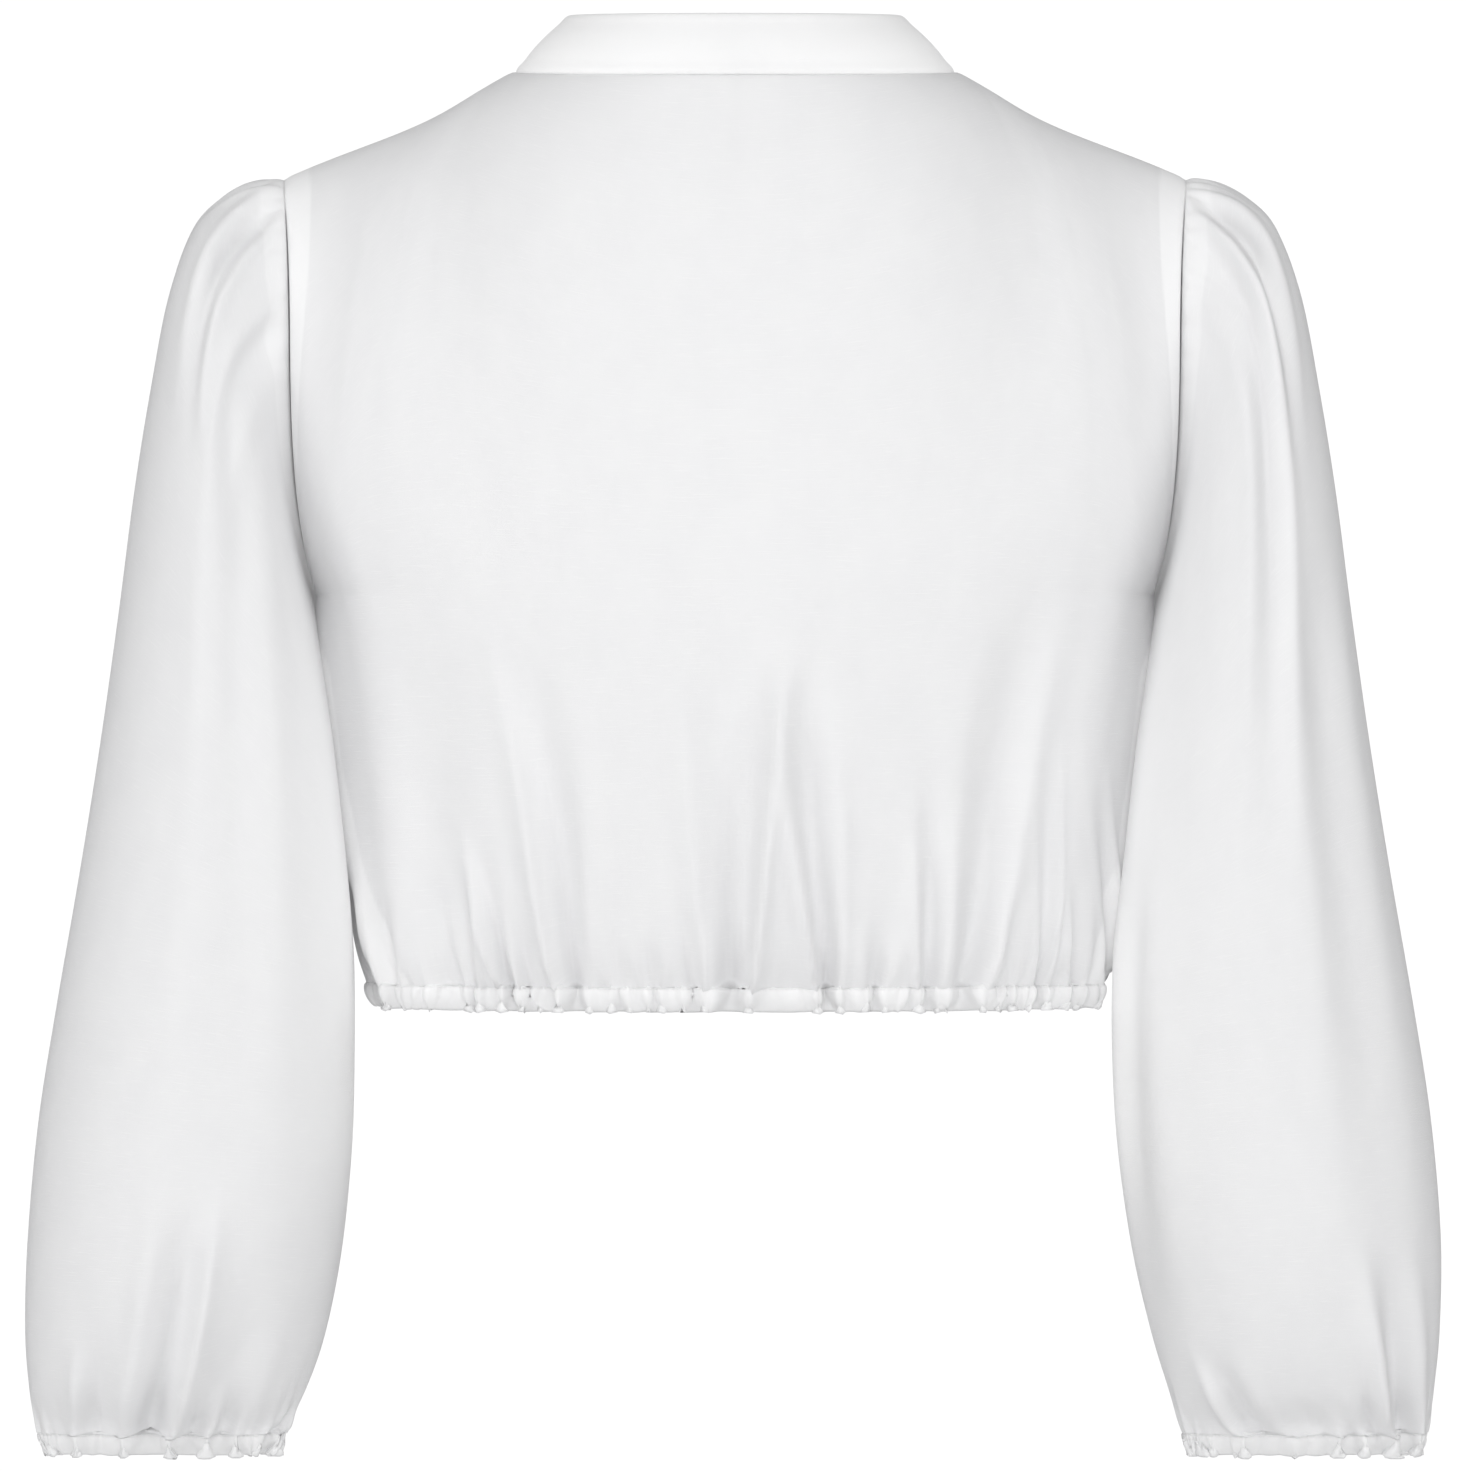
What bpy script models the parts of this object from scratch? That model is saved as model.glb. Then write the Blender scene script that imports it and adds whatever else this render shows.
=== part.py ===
"""Cropped dirndl blouse with long gathered sleeves, worn form with nobody in it.

Metres, +Z up, and the wearer faces -Y. The origin lies between the shoulder seams, at the
level of their neck ends, where the blouse hangs on its wearer. Sizes below are millimetres.
"""

import math
from collections import namedtuple

import bmesh
import bpy
import numpy as np

MM = 0.001

# Driving dimensions of the cut
CLOTH = 1.2
BAND_CLOTH = 1.8
CASING_CLOTH = 2.6
SEAM_GAP = 0.3
NECK_SETBACK = 0.5
SHOULDER_SETBACK = 1.0
ARMHOLE_GAP = 0.25
HALF_SHOULDER = 194.0
SHOULDER_DROP = 47.0
HALF_NECK = 94.0
HALF_UNDERARM = 180.0
UNDERARM_DROP = 226.0
NECKLINE_DEPTH = 208.0
BODY_MIDDLE_Y = -12.0

# The neck seam and the band's free edge, each by its centre back, side and centre front
NeckRing = namedtuple("NeckRing", "back side front")
NECK_SEAM = NeckRing((0, 62, -6.5), (HALF_NECK, -8, 0), (0, -127, -NECKLINE_DEPTH))
BAND_EDGE = NeckRing((0, 54, 20), (70.5, -10, 24.5), (0, -114, -142))
FRONT_BOW = 6.0
FRONT_SWELL = 2.2
BAND_BOW = 1.6

SHOULDER_TIP = (HALF_SHOULDER, -2, -SHOULDER_DROP)
SHOULDER_HOLLOW = 6.8
UNDERARM = (HALF_UNDERARM, BODY_MIDDLE_Y, -UNDERARM_DROP)
ARMHOLE_BOW = 2.0
ARMHOLE_SKEW = 5.0
ARMHOLE_BACK = 50.0
ARMHOLE_FRONT = 45.0

# Body rings from the top of the hem casing to the underarm, depths from the side seam
BodyRing = namedtuple("BodyRing", "height half_width back_depth front_depth squareness")
BODY = (
    BodyRing(-392.5, 158.5, 88, 104, 2.2),
    BodyRing(-378, 163.5, 95, 112, 2.2),
    BodyRing(-350, 168.3, 101, 118, 2.2),
    BodyRing(-310, 172.2, 106, 122, 2.25),
    BodyRing(-268, 176.4, 109, 123, 2.4),
    BodyRing(-226, 180, 110, 119, 2.7),
)

# How the cloth of each panel runs from the body rings up to the shoulder and neck
Panel = namedtuple("Panel", "name side dip neck_lean fullness full_at neck_columns")
BACK = Panel("back", 1, 0.0, 25, 14, 0.62, 11)
FRONT = Panel("front", -1, 0.9, 9, 5, 0.55, 13)
NECK_SHARE = 0.36
SHOULDER_COLUMNS = 17
SHOULDER_LEAN = 87
NECK_FAN = 50
FAN_REACH = 0.3
HOLD_LOW = 0.36
HOLD_NECK = 0.31
HOLD_SHOULDER = 0.2
EVENING = 12
LOWER_ROWS = 6
UPPER_ROWS = 9
V_POINT_GAP = 0.5

# Folds that rise from the hem: places are shares of the way from centre to side seam
Fold = namedtuple("Fold", "at_hem at_top top_height width depth")
BACK_FOLDS = (
    Fold(0.71, 0.69, -350, 0.045, 2.4),
    Fold(0.53, 0.507, -205, 0.075, 2.6),
    Fold(0.385, 0.417, -312, 0.035, 2.6),
    Fold(0.259, 0.279, -222, 0.045, 4.6),
    Fold(0.169, 0.172, -350, 0.035, 2.0),
    Fold(0.075, 0.08, -352, 0.032, 2.8),
    Fold(0.006, -0.005, -190, 0.045, 5.0),
    Fold(-0.137, -0.055, -225, 0.04, 4.4),
    Fold(-0.215, -0.21, -355, 0.034, 2.0),
    Fold(-0.316, -0.291, -290, 0.036, 3.2),
    Fold(-0.399, -0.43, -185, 0.055, 5.2),
    Fold(-0.587, -0.511, -272, 0.04, 2.6),
    Fold(-0.775, -0.7, -335, 0.045, 2.2),
)
FRONT_FOLDS = (
    Fold(0.78, 0.72, -330, 0.045, 2.4),
    Fold(0.62, 0.57, -290, 0.05, 3.0),
    Fold(0.47, 0.45, -345, 0.036, 2.2),
    Fold(0.36, 0.37, -262, 0.055, 4.0),
    Fold(0.25, 0.29, -310, 0.04, 3.0),
    Fold(0.14, 0.17, -345, 0.036, 2.4),
    Fold(0.03, 0.02, -290, 0.045, 3.4),
    Fold(-0.09, -0.12, -335, 0.036, 2.6),
    Fold(-0.2, -0.25, -300, 0.042, 3.2),
    Fold(-0.33, -0.38, -258, 0.055, 4.0),
    Fold(-0.46, -0.46, -345, 0.036, 2.4),
    Fold(-0.59, -0.55, -300, 0.048, 3.0),
    Fold(-0.74, -0.7, -335, 0.045, 2.4),
)

# Left sleeve from armhole to cuff: each ring by its outer and inner points as the photo shows
SleeveRing = namedtuple("SleeveRing", "outer_x outer_z inner_x inner_z half_depth middle_y")
SLEEVE = (
    SleeveRing(194, -47, 180, -226, 48, -7),
    SleeveRing(205, -49, 180.2, -230, 51, -2),
    SleeveRing(219, -56.5, 179.2, -236, 55, 7),
    SleeveRing(231.2, -69.5, 178.2, -243, 58.5, 15),
    SleeveRing(241.5, -98, 176.8, -252, 61, 21),
    SleeveRing(249, -138, 174.6, -267, 62, 25),
    SleeveRing(255.8, -182, 171.4, -288, 61, 28.5),
    SleeveRing(262.6, -235, 168, -317, 59, 29.5),
    SleeveRing(270.5, -290, 164.8, -349, 58, 28),
    SleeveRing(279.6, -345, 162.6, -382, 58, 24),
    SleeveRing(289.6, -400, 162.6, -420, 58, 18),
    SleeveRing(298, -450, 164, -462, 57, 12),
    SleeveRing(303, -500, 168.5, -506, 54, 8),
    SleeveRing(304.5, -540, 175.6, -542, 46, 5),
    SleeveRing(303, -565, 183.8, -566, 35, 3),
    SleeveRing(300.4, -580, 190.6, -580, 20, 2),
    SleeveRing(299.2, -585.5, 193.2, -585.5, 17, 2),
)
# Where the right sleeve hangs nearer to the body or fuller than the left one
SleeveChange = namedtuple("SleeveChange", "ring outer_x inner_x")
LEFT_CHANGES = ()
RIGHT_CHANGES = (
    SleeveChange(11, -0.2, 1.0),
    SleeveChange(12, -0.6, 2.4),
    SleeveChange(13, -2.2, 3.2),
    SleeveChange(14, -2.8, 2.0),
    SleeveChange(15, -2.1, -0.4),
    SleeveChange(16, -2.1, -1.2),
)
SLEEVE_COLUMNS = 36
SLEEVE_ROWS = 16
ARMHOLE_FADE = 4.0

# Sleeve folds: round the arm in degrees from its outer side, backwards; along it in rings
SleeveFold = namedtuple("SleeveFold", "start_ring end_ring start_angle end_angle width depth")
LEFT_FOLDS = (
    SleeveFold(0, 5.0, 30, 60, 9, 5.5),
    SleeveFold(0, 3.5, 10, 2, 9, 2.6),
    SleeveFold(0.5, 6, 78, 84, 10, 2.6),
    SleeveFold(3, 13, 92, 108, 14, 3.5),
    SleeveFold(0, 6, -20, -25, 10, 4.2),
    SleeveFold(0, 5.5, -42, -50, 9, 3.4),
    SleeveFold(2, 10, -85, -80, 15, 4.0),
    SleeveFold(11.2, 16, 94, 85, 9, 7.0),
    SleeveFold(12.8, 16, 62, 58, 9, 4.0),
    SleeveFold(13.6, 16, 118, 112, 9, 3.2),
    SleeveFold(14.2, 16, 172, 155, 9, 2.6),
    SleeveFold(11.5, 16, -70, -62, 9, 5.0),
    SleeveFold(12, 16, -100, -98, 9, 4.6),
    SleeveFold(11, 16, -125, -132, 9, 5.0),
)
RIGHT_FOLDS = (
    SleeveFold(0, 6, 22, 60, 9, 5.0),
    SleeveFold(0.6, 9.5, 50, 88, 10, 4.4),
    SleeveFold(6, 13, 48, 58, 12, 2.5),
    SleeveFold(0, 5.5, -18, -28, 10, 4.2),
    SleeveFold(0, 6, -45, -55, 9, 3.6),
    SleeveFold(2, 10, -88, -84, 15, 4.0),
    SleeveFold(13, 16, 132, 110, 9, 4.6),
    SleeveFold(14, 16, 90, 84, 9, 3.0),
    SleeveFold(11.8, 16, 54, 34, 9, 6.0),
    SleeveFold(13.2, 16, 68, 56, 9, 3.2),
    SleeveFold(11.5, 16, -60, -58, 9, 5.0),
    SleeveFold(12, 16, -95, -92, 9, 4.4),
    SleeveFold(11.5, 16, -130, -126, 9, 4.8),
    SleeveFold(7.5, 14, 158, 160, 14, 3.6),
)

# Elastic casings: how many gathers go round, and how far they stand in and out
HEM_CASING_HEIGHT = 11.5
HEM_GATHERS = 96
CUFF_CASING_HEIGHT = 10.5
CUFF_GATHERS = 36
GATHER_DEPTH = 1.1
GATHER_VARIETY = 0.45
COLUMNS_PER_GATHER = 2
HEM_CASING_GAP = 0.7
CUFF_CASING_GAP = 0.6
HEM_TUCK = 4.0
CUFF_TUCK = 1.5
CASING_ROWS = (0.0, 0.45, 1.0)
BAND_ROWS = 2


def clear_scene():
    for obj in list(bpy.data.objects):
        bpy.data.objects.remove(obj)


def through(rows, at):
    """Values of a table's columns at fractional row numbers, on a smooth curve through its rows."""
    table = np.array(rows, float)
    last = len(table) - 1
    at = np.clip(np.asarray(at, float), 0, last)
    start = np.minimum(at.astype(int), last - 1)
    part = (at - start)[..., None]
    before, here = table[np.maximum(start - 1, 0)], table[start]
    there, after = table[start + 1], table[np.minimum(start + 2, last)]
    slope_here, slope_there = (there - before) / 2, (after - here) / 2
    return (
        here * (2 * part**3 - 3 * part**2 + 1)
        + slope_here * (part**3 - 2 * part**2 + part)
        + there * (3 * part**2 - 2 * part**3)
        + slope_there * (part**3 - part**2)
    )


def fade(value):
    """0 below 0, 1 above 1, and a smooth rise between."""
    value = np.clip(value, 0, 1)
    return value * value * (3 - 2 * value)


def joined(x, y, z):
    return np.stack(np.broadcast_arrays(x, y, z), axis=-1).astype(float)


def body_ring(ring_number, across, side):
    """Points of the body below the arms: across runs -1 to 1 from side seam to side seam."""
    height, half_width, back, front, square = np.moveaxis(through(BODY, ring_number), -1, 0)
    angle = np.asarray(across) * math.pi / 2
    sine, cosine = np.sin(angle), np.maximum(np.cos(angle), 0)
    power = 2 / square
    depth = back if side > 0 else front
    x = half_width * np.sign(sine) * np.abs(sine) ** power
    return joined(x, BODY_MIDDLE_Y + side * depth * cosine**power, height)


def armhole(angle):
    """The left armhole seam: 0 at the shoulder tip, 90 degrees at mid back, 180 at the underarm."""
    tip, low = np.array(SHOULDER_TIP, float), np.array(UNDERARM, float)
    angle = np.asarray(angle, float)[..., None]
    depth = np.where(np.sin(angle) > 0, ARMHOLE_BACK, ARMHOLE_FRONT)
    return (
        (tip + low) / 2
        + (tip - low) / 2 * np.cos(angle)
        + np.array([0, 1, 0]) * depth * np.sin(angle)
        + np.array([1, 0, 0]) * (ARMHOLE_BOW - ARMHOLE_SKEW * np.cos(angle)) * np.sin(angle) ** 2
    )


def armhole_chords(degrees):
    """The armhole as the panels' rows cut it, straight from one row to the next."""
    step = 180 / UPPER_ROWS
    start = np.floor(degrees / step) * step
    part = ((degrees - start) / step)[:, None]
    here = armhole(np.radians((start + 180) % 360 - 180))
    there = armhole(np.radians((start + step + 180) % 360 - 180))
    return here + (there - here) * part


def neck_back(ring, share):
    """Left half of a neck ring behind the shoulder: share 0 at centre back, 1 at the side."""
    back, side = np.array(ring.back, float), np.array(ring.side, float)
    turn = np.asarray(share) * math.pi / 2
    return joined(
        side[0] * np.sin(turn),
        side[1] + (back[1] - side[1]) * np.cos(turn),
        side[2] + (back[2] - side[2]) * np.cos(turn),
    )


def neck_front(ring, share):
    """Left half of a neck ring before the shoulder: share 0 at the side, 1 at the V's point."""
    side, front = np.array(ring.side, float), np.array(ring.front, float)
    share = np.asarray(share, float)
    bow = FRONT_BOW * np.sin(math.pi * share)
    forward = 1 - (1 - share) ** FRONT_SWELL
    return joined(
        side[0] * (1 - share) + bow,
        side[1] + (front[1] - side[1]) * forward,
        side[2] + (front[2] - side[2]) * share,
    )


def shoulder_seam(share):
    """Left shoulder seam: share 0 at the neck, 1 at the tip."""
    neck, tip = np.array(NECK_SEAM.side, float), np.array(SHOULDER_TIP, float)
    share = np.asarray(share, float)[..., None]
    hollow = SHOULDER_HOLLOW * np.sin(math.pi * share) * (1 - share)
    return neck + (tip - neck) * share - np.array([0, 0, 1]) * hollow


def top_edge(panel, across):
    """Where each column of a panel ends, on the neck seam or the shoulder seam."""
    reach = np.abs(across)
    neck_share = np.clip(reach / NECK_SHARE, 0, 1)
    shoulder_share = np.clip((reach - NECK_SHARE) / (1 - NECK_SHARE), 0, 1)
    neck = (
        neck_back(NECK_SEAM, neck_share)
        if panel.side > 0
        else neck_front(NECK_SEAM, 1 - neck_share)
    )
    points = np.where((reach > NECK_SHARE)[:, None], shoulder_seam(shoulder_share), neck)
    points[:, 0] *= np.sign(across)
    return points


def evened(points):
    """The same row of points without its sharp turns."""
    for _ in range(EVENING):
        points = points.copy()
        points[1:-1] = (points[:-2] + 2 * points[1:-1] + points[2:]) / 4
    return points


def panel_surface(panel, across, rows):
    """Unfolded points of a panel: rows 0 to 1 lie below the arms, rows 1 to 2 above."""
    split = len(BODY) - 1 - panel.dip * (1 - across**2)
    lower = np.clip(rows, 0, 1)[:, None] * split
    points = body_ring(lower, np.broadcast_to(across, lower.shape), panel.side)
    foot = body_ring(split, across, panel.side)
    rising = foot - body_ring(split - 0.1, across, panel.side)
    rising /= np.linalg.norm(rising, axis=1, keepdims=True)
    head = top_edge(panel, across)
    length = np.linalg.norm(head - foot, axis=1, keepdims=True)
    reach = np.abs(across)
    to_shoulder = fade(reach / NECK_SHARE)
    lean = np.radians(panel.neck_lean + (SHOULDER_LEAN - panel.neck_lean) * to_shoulder)
    fan = np.radians(NECK_FAN) * to_shoulder * (1 - fade((reach - NECK_SHARE) / FAN_REACH))
    outward = np.sin(lean) * np.sin(fan) * np.sign(across)
    arriving = joined(outward, panel.side * np.sin(lean) * np.cos(fan), -np.cos(lean))
    hold = (HOLD_NECK + (HOLD_SHOULDER - HOLD_NECK) * to_shoulder)[:, None]
    hold_low = foot + rising * length * HOLD_LOW
    hold_high = evened(head + arriving * length * hold)
    t = np.clip(rows - 1, 0, 1)[:, None, None]
    smooth_head = evened(head)
    head = smooth_head + (head - smooth_head) * t**5
    column = (
        foot * (1 - t) ** 3
        + 3 * hold_low * t * (1 - t) ** 2
        + 3 * hold_high * t**2 * (1 - t)
        + head * t**3
    )
    seam = armhole(panel.side * math.pi * (1 - t[:, 0, 0]))
    for edge, side in ((0, -1), (-1, 1)):
        weight = fade((across * side - 0.55) / 0.45)[None, :, None]
        away = seam * np.array([side, 1, 1]) - column[:, edge]
        column = column + away[:, None] * weight
    swell = np.exp(-(((reach - panel.full_at) / 0.22) ** 2)) * fade((1 - reach) / 0.3)
    fullness = np.array([0, panel.side * panel.fullness, 0])
    column = column + fullness * swell[None, :, None] * np.sin(math.pi * t)
    above = (rows > 1)[:, None, None]
    return np.where(above, column, points)


def normals_of(points, wrap):
    """Unit normals of a grid of points; wrap says that its columns close on themselves."""
    if wrap:
        across = np.roll(points, -1, axis=1) - np.roll(points, 1, axis=1)
    else:
        across = np.gradient(points, axis=1)
    along = np.gradient(points, axis=0)
    normal = np.cross(across, along)
    return normal / np.maximum(np.linalg.norm(normal, axis=-1, keepdims=True), 1e-9)


def trough(distance):
    """A soft trough with a low ridge on each side, 1 deep."""
    return -np.exp(-(distance**2)) + 0.45 * np.exp(-((np.abs(distance) - 1.7) ** 2) / 0.6)


def hem_folds(folds, across, heights):
    """How far the folds move each point of a panel along its normal."""
    total = np.zeros(heights.shape)
    for fold in folds:
        rise = (heights - BODY[0].height) / (fold.top_height - BODY[0].height)
        middle = fold.at_hem + (fold.at_top - fold.at_hem) * np.clip(rise, 0, 1)
        width = fold.width * (1 + 0.7 * np.clip(rise, 0, 1))
        strength = 1 - fade(rise * 1.15 - 0.15)
        total += fold.depth * trough((across - middle) / width) * strength
    return total


def sleeve_folds(folds, rings, angles):
    """How far the folds move each point of a sleeve along its normal."""
    total = np.zeros((len(rings), len(angles)))
    for fold in folds:
        share = (rings - fold.start_ring) / (fold.end_ring - fold.start_ring)
        middle = fold.start_angle + (fold.end_angle - fold.start_angle) * np.clip(share, 0, 1)
        strength = fade((rings - fold.start_ring) / 1.5)
        if fold.end_ring < len(SLEEVE) - 1:
            strength = strength * (1 - fade(share * 1.6 - 0.6))
        away = (angles[None, :] - middle[:, None] + 180) % 360 - 180
        total += fold.depth * trough(away / fold.width) * strength[:, None]
    return total


def pull_back(points, bottom, top, wrap=False):
    """Draws the open edges of a grid back from their seams, square to each edge."""
    pulled = points.copy()
    half_gap = SEAM_GAP / 2
    edges = [(0, 1, 0, bottom), (-1, -2, 0, top)]
    if not wrap:
        edges += [(0, 1, 1, half_gap), (-1, -2, 1, half_gap)]
    for edge, inner, axis, distance in edges:
        here = np.take(points, edge, axis=axis)
        step = np.take(points, inner, axis=axis) - here
        if wrap:
            seam = np.roll(here, -1, axis=0) - np.roll(here, 1, axis=0)
        else:
            seam = np.gradient(here, axis=0)
        seam /= np.maximum(np.linalg.norm(seam, axis=-1, keepdims=True), 1e-9)
        step -= seam * np.sum(seam * step, axis=-1, keepdims=True)
        step /= np.maximum(np.linalg.norm(step, axis=-1, keepdims=True), 1e-9)
        step *= np.reshape(distance, (-1, 1))
        if axis == 0:
            pulled[edge] += step
        else:
            pulled[:, edge] += step
    return pulled


def cloth_object(name, points, thickness, wrap, colour, collection):
    """A grid of points in millimetres as a sheet of cloth with its thickness on the inside."""
    rows, columns = points.shape[:2]
    mesh = bpy.data.meshes.new(name)
    bm = bmesh.new()
    segments = columns if wrap else columns - 1
    bmesh.ops.create_grid(bm, x_segments=segments, y_segments=rows - 1, size=1)
    width = segments + 1
    ordered = sorted(bm.verts, key=lambda v: (round(v.co.y, 6), round(v.co.x, 6)))
    for index, vert in enumerate(ordered):
        row, column = divmod(index, width)
        vert.co = points[row, column % columns] * MM
    if wrap:
        bmesh.ops.remove_doubles(bm, verts=bm.verts, dist=1e-6)
    bm.to_mesh(mesh)
    bm.free()
    obj = bpy.data.objects.new(name, mesh)
    collection.objects.link(obj)
    mesh.shade_smooth()
    wall = obj.modifiers.new("wall", "SOLIDIFY")
    wall.thickness = thickness * MM
    wall.offset = -1
    wall.use_quality_normals = True
    mesh.materials.append(cloth_material(name, colour))
    return obj


def cloth_material(name, colour):
    material = bpy.data.materials.new(name)
    material.use_nodes = True
    shader = material.node_tree.nodes["Principled BSDF"]
    shader.inputs["Base Color"].default_value = (*colour, 1)
    shader.inputs["Roughness"].default_value = 0.75
    shader.inputs["Metallic"].default_value = 0.0
    return material


WHITE = (0.86, 0.86, 0.86)
BAND_WHITE = (0.9, 0.9, 0.9)


def make_panel(panel, folds, collection):
    right = -np.linspace(1, NECK_SHARE, SHOULDER_COLUMNS + 1)
    middle = np.linspace(-NECK_SHARE, NECK_SHARE, 2 * panel.neck_columns + 1)
    across = np.concatenate([right[:-1], middle, -right[::-1][1:]])
    rows = np.concatenate(
        [np.linspace(0, 1, LOWER_ROWS) ** 1.15, 1 + np.linspace(0, 1, UPPER_ROWS + 1)[1:]]
    )
    points = panel_surface(panel, across, rows)
    if panel.side > 0:
        points = points[:, ::-1]
        across = across[::-1]
    moved = points + normals_of(points, False) * hem_folds(folds, across, points[..., 2])[..., None]
    moved[0, :, 2] = points[0, :, 2]
    at_neck = np.abs(across) < NECK_SHARE - 0.001
    moved = pull_back(moved, SEAM_GAP / 2, np.where(at_neck, NECK_SETBACK, SHOULDER_SETBACK))
    if panel.side < 0:
        moved[-1, len(across) // 2, 2] -= V_POINT_GAP
    return cloth_object(panel.name, moved, CLOTH, False, WHITE, collection)


def sleeve_surface(changes, rings, angles):
    """Unfolded points of a sleeve as a left one, its first ring on the armhole."""
    table = [list(row) for row in SLEEVE]
    for change in changes:
        table[change.ring][0] += change.outer_x
        table[change.ring][2] += change.inner_x
    outer_x, outer_z, inner_x, inner_z, depth, middle_y = np.moveaxis(through(table, rings), -1, 0)
    turn = np.radians(angles)[None, :]
    x = (outer_x + inner_x)[:, None] / 2 + (outer_x - inner_x)[:, None] / 2 * np.cos(turn)
    z = (outer_z + inner_z)[:, None] / 2 + (outer_z - inner_z)[:, None] / 2 * np.cos(turn)
    y = middle_y[:, None] + depth[:, None] * np.sin(turn)
    points = joined(x, y, z)
    seam = armhole_chords(angles) + np.array([ARMHOLE_GAP, 0, 0])
    share = 1 - fade(rings / ARMHOLE_FADE)
    return points + (seam - points[0])[None] * share[:, None, None]


def folded_sleeve(folds, changes, rings, angles):
    """A sleeve as a left one with its folds, its last ring kept level."""
    points = sleeve_surface(changes, rings, angles)
    moved = points - normals_of(points, True) * sleeve_folds(folds, rings, angles)[..., None]
    moved[-1, :, 2] = points[-1, :, 2]
    return moved


def make_sleeve(name, folds, changes, mirror, collection):
    angles = np.arange(SLEEVE_COLUMNS) * 360 / SLEEVE_COLUMNS
    rings = np.linspace(0, 1, SLEEVE_ROWS) ** 0.97 * (len(SLEEVE) - 1)
    points = folded_sleeve(folds, changes, rings, angles)
    points = pull_back(points, SEAM_GAP / 2, SEAM_GAP / 2, True)
    if mirror:
        points = points * np.array([-1, 1, 1])
    else:
        points = points[:, ::-1]
    return cloth_object(name, points, CLOTH, True, WHITE, collection)


def make_band(collection):
    """The collar band: stands behind the neck and lies down the V in front."""
    back = np.linspace(0, 1, BACK.neck_columns + 1)
    front = np.linspace(0, 1, FRONT.neck_columns + 1)[1:]
    rows = []
    for share in np.linspace(0, 1, BAND_ROWS + 1):
        lower = np.concatenate([neck_back(NECK_SEAM, back), neck_front(NECK_SEAM, front)])
        upper = np.concatenate([neck_back(BAND_EDGE, back), neck_front(BAND_EDGE, front)])
        rows.append(lower + (upper - lower) * share)
    left = np.array(rows)
    inward = normals_of(left, False)
    arch = np.sin(math.pi * np.linspace(0, 1, BAND_ROWS + 1))
    left = left - inward * BAND_BOW * arch[:, None, None]
    right = left[:, :0:-1] * np.array([-1, 1, 1])
    whole = np.concatenate([right, left], axis=1)[:, ::-1]
    whole[:, 0, 0] = SEAM_GAP / 2
    whole[:, -1, 0] = -SEAM_GAP / 2
    whole = pull_back(whole, NECK_SETBACK, 0)
    return cloth_object("collar_band", whole, BAND_CLOTH, False, BAND_WHITE, collection)


def casing(name, edge, gap, tuck, height, mirror, collection):
    """A ring of gathered double cloth hung below the given edge and drawn in at its foot."""
    ahead = np.roll(edge, -1, axis=0) - np.roll(edge, 1, axis=0)
    outward = np.cross(ahead, np.array([0, 0, 1]))
    outward /= np.linalg.norm(outward, axis=1, keepdims=True)
    number = np.arange(len(edge))
    variety = 1 + GATHER_VARIETY * np.sin(number * 1.7) * np.sin(number * 0.23)
    wave = GATHER_DEPTH * variety * np.cos(2 * math.pi * number / COLUMNS_PER_GATHER)
    rows = []
    for share in CASING_ROWS:
        ring = edge + outward * (wave * (0.5 + 0.5 * share) - tuck * share**2)[:, None]
        ring[:, 2] = edge[:, 2] - gap - height * share
        rows.append(ring)
    points = np.array(rows)[::-1]
    if mirror:
        points = points[:, ::-1] * np.array([-1, 1, 1])
    return cloth_object(name, points, CASING_CLOTH, True, BAND_WHITE, collection)


def hem_edge(columns):
    """The body's lowest ring with its folds, all the way round from the left side seam."""
    across = 1 - 4 * np.arange(columns) / columns
    behind = across >= -1
    place = np.where(behind, across, -2 - across)
    low = np.full(columns, float(BODY[0].height))
    edge = np.where(behind[:, None], body_ring(0, place, 1), body_ring(0, place, -1))
    moved = np.where(behind, hem_folds(BACK_FOLDS, place, low), hem_folds(FRONT_FOLDS, place, low))
    ahead = np.roll(edge, -1, axis=0) - np.roll(edge, 1, axis=0)
    outward = np.cross(ahead, np.array([0, 0, 1]))
    outward /= np.linalg.norm(outward, axis=1, keepdims=True)
    return edge + outward * moved[:, None]


def cuff_edge(folds, changes, columns):
    """A sleeve's last ring with its folds, as a left one."""
    angles = np.arange(columns) * 360 / columns
    rings = np.array([len(SLEEVE) - 2.0, len(SLEEVE) - 1.0])
    return folded_sleeve(folds, changes, rings, angles)[-1]


def make_casings(collection):
    edge = hem_edge(HEM_GATHERS * COLUMNS_PER_GATHER)
    casing("hem_casing", edge, HEM_CASING_GAP, HEM_TUCK, HEM_CASING_HEIGHT, False, collection)
    sides = (
        ("cuff_casing_left", LEFT_FOLDS, LEFT_CHANGES, False),
        ("cuff_casing_right", RIGHT_FOLDS, RIGHT_CHANGES, True),
    )
    for name, folds, changes, mirror in sides:
        edge = cuff_edge(folds, changes, CUFF_GATHERS * COLUMNS_PER_GATHER)
        casing(name, edge, CUFF_CASING_GAP, CUFF_TUCK, CUFF_CASING_HEIGHT, mirror, collection)


def main():
    clear_scene()
    collection = bpy.data.collections.new("dirndl_blouse")
    bpy.context.scene.collection.children.link(collection)
    make_panel(BACK, BACK_FOLDS, collection)
    make_panel(FRONT, FRONT_FOLDS, collection)
    make_sleeve("sleeve_left", LEFT_FOLDS, LEFT_CHANGES, False, collection)
    make_sleeve("sleeve_right", RIGHT_FOLDS, RIGHT_CHANGES, True, collection)
    make_band(collection)
    make_casings(collection)


main()
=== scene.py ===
# A white cropped blouse with long gathered sleeves, filled out as worn with nobody in it.
# Shapes are worked out in millimetres from the cut; the wearer faces -Y and the photo is the back.

import math

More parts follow.
